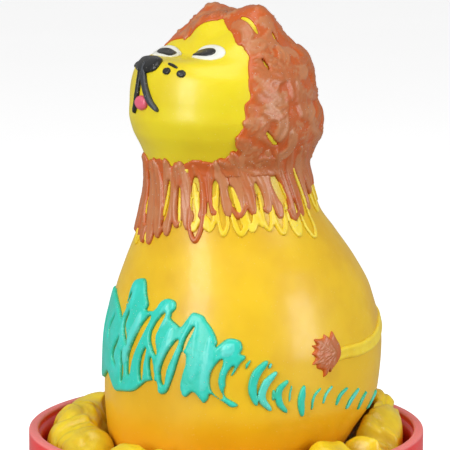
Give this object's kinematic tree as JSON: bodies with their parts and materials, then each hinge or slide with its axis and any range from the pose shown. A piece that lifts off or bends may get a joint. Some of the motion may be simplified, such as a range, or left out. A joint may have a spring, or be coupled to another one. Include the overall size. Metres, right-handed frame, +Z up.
{
  "type": "painted latex lion in a round tub",
  "caption": "Small painted latex lion, taut over a hollow former, standing in a round red plastic tub with its spare latex folded around it.",
  "frame": {"origin": "middle of the tub's underside, on the surface it stands on", "axes": "+Z up through the lion's crown; the lion faces -Y; +X is its left-hand side, where the tail's tuft lies"},
  "size_m": [0.052, 0.052, 0.0841],
  "materials": {
    "tub_plastic": "smooth moulded, scuffed pale at the rim",
    "former_plastic": "plain moulded",
    "latex": "glossy amber, slightly see-through in thin folds",
    "brown_paint": "thick raised brush paint, satin",
    "yellow_paint": "thick raised brush paint, glossy",
    "white_paint": "raised paint, satin",
    "black_paint": "raised paint, glossy",
    "pink_paint": "raised paint, satin",
    "turquoise_paint": "thick raised brush paint, satin"
  },
  "bodies": {
    "tub": {"tub": "tub_plastic"},
    "foot": {"former_foot": "former_plastic"},
    "figure": {"display_former": "former_plastic", "latex_skin": "latex", "skirt": "latex", "rolled_bead": "latex", "mane_head": "brown_paint", "mane_collar": "brown_paint", "yellow_strands": "yellow_paint", "eye_white_left": "white_paint", "eye_white_right": "white_paint", "pupil_left": "black_paint", "pupil_right": "black_paint", "nose_pad": "black_paint", "tongue": "pink_paint", "mouth_line_left": "black_paint", "mouth_line_right": "black_paint", "whisker_dots_left": "black_paint", "whisker_dots_right": "black_paint", "grass_clump": "turquoise_paint", "grass_blades": "turquoise_paint", "tail_stroke": "yellow_paint", "tail_tuft": "brown_paint"}
  },
  "joints": [
    {"name": "figure_turn", "type": "hinge", "parent": "tub", "child": "foot", "pos_m": [0, 0, 0.0016], "axis": [0, 0, 1], "continuous": true},
    {"name": "figure_lift", "type": "slide", "parent": "foot", "child": "figure", "axis": [0, 0, 1], "range_m": [0, 0.06]}
  ]
}
